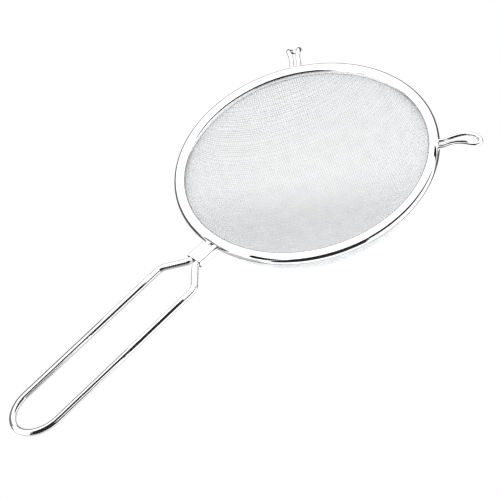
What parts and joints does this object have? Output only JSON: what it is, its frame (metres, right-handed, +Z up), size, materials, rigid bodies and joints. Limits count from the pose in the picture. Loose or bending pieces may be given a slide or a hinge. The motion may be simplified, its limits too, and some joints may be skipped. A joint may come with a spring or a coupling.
{
  "type": "double sieve strainer",
  "caption": "Round hand strainer with nested wire cloths in a rolled rim, a hairpin wire handle and bent wire rests for a bucket's edge.",
  "frame": {"origin": "bottom centre of the bounding box, under the neck end of the bowl, level with the bowl's lowest point", "axes": "+Z up along the bowl's axis, -X from the bowl towards the handle's end, +Y across"},
  "size_m": [0.3779, 0.1901, 0.054],
  "materials": {
    "polished_steel": "polished",
    "woven_cloth": "drawn wire"
  },
  "bodies": {
    "root": {"rim": "polished_steel", "rim_hoop": "polished_steel", "outer_sieve_cloth": "woven_cloth", "inner_sieve_cloth": "woven_cloth", "handle": "polished_steel", "handle_collar": "polished_steel", "rest_left": "polished_steel", "rest_right": "polished_steel"}
  },
  "joints": []
}
